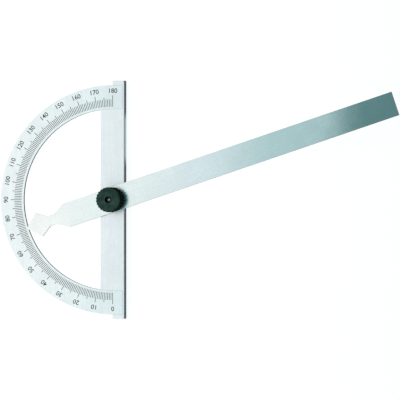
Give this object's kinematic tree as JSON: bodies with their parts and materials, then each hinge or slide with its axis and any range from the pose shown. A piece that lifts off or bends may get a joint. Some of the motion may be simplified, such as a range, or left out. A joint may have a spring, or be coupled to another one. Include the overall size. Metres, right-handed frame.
{
  "type": "bevel protractor",
  "caption": "Flat workshop protractor with an open graduated arc on a rail, a long swinging blade with an arrowhead pointer, and a ribbed clamping knob.",
  "frame": {"origin": "on the pivot axis, in the underside plane that the rail lies on", "axes": "+Z out of the scale face, +Y along the rail from the 0 end to the 180 end, +X from the rail away from the arc"},
  "size_m": [0.2639, 0.156, 0.0223],
  "materials": {
    "rail_chrome": "satin chrome plate on steel, ground along its length",
    "arc_chrome": "matt chrome plate on steel",
    "blade_chrome": "satin chrome plate on steel, ground along its length",
    "scale_black": "black filling of the etched scale",
    "stud_steel": "turned steel",
    "spring_steel": "hardened strip",
    "knob_black": "moulded, slight sheen",
    "insert_brass": "turned"
  },
  "bodies": {
    "stock": {"rail": "rail_chrome", "arc_plate": "arc_chrome", "arc_rivets": "arc_chrome", "pivot_stud": "stud_steel", "pressure_washer": "stud_steel"},
    "blade": {"blade": "blade_chrome"},
    "spring": {"wave_washer": "spring_steel"},
    "knob": {"knob_body": "knob_black", "knob_insert": "insert_brass"}
  },
  "joints": [
    {"name": "blade_swing", "type": "hinge", "parent": "stock", "child": "blade", "pos_m": [0, 0, 0.007], "axis": [0, 0, 1], "range_deg": [-108.5, 71.5]},
    {"name": "spring_rise", "type": "slide", "parent": "stock", "child": "spring", "axis": [0, 0, 1], "range_m": [0, 0.0007]},
    {"name": "knob_turn", "type": "hinge", "parent": "spring", "child": "knob", "pos_m": [0, 0, 0.0154], "axis": [0, 0, 1], "range_deg": [0, 360]}
  ],
  "couplings": [
    {"joint": "spring_rise", "follows": "knob_turn", "m_per_rad": 0.00011141}
  ]
}
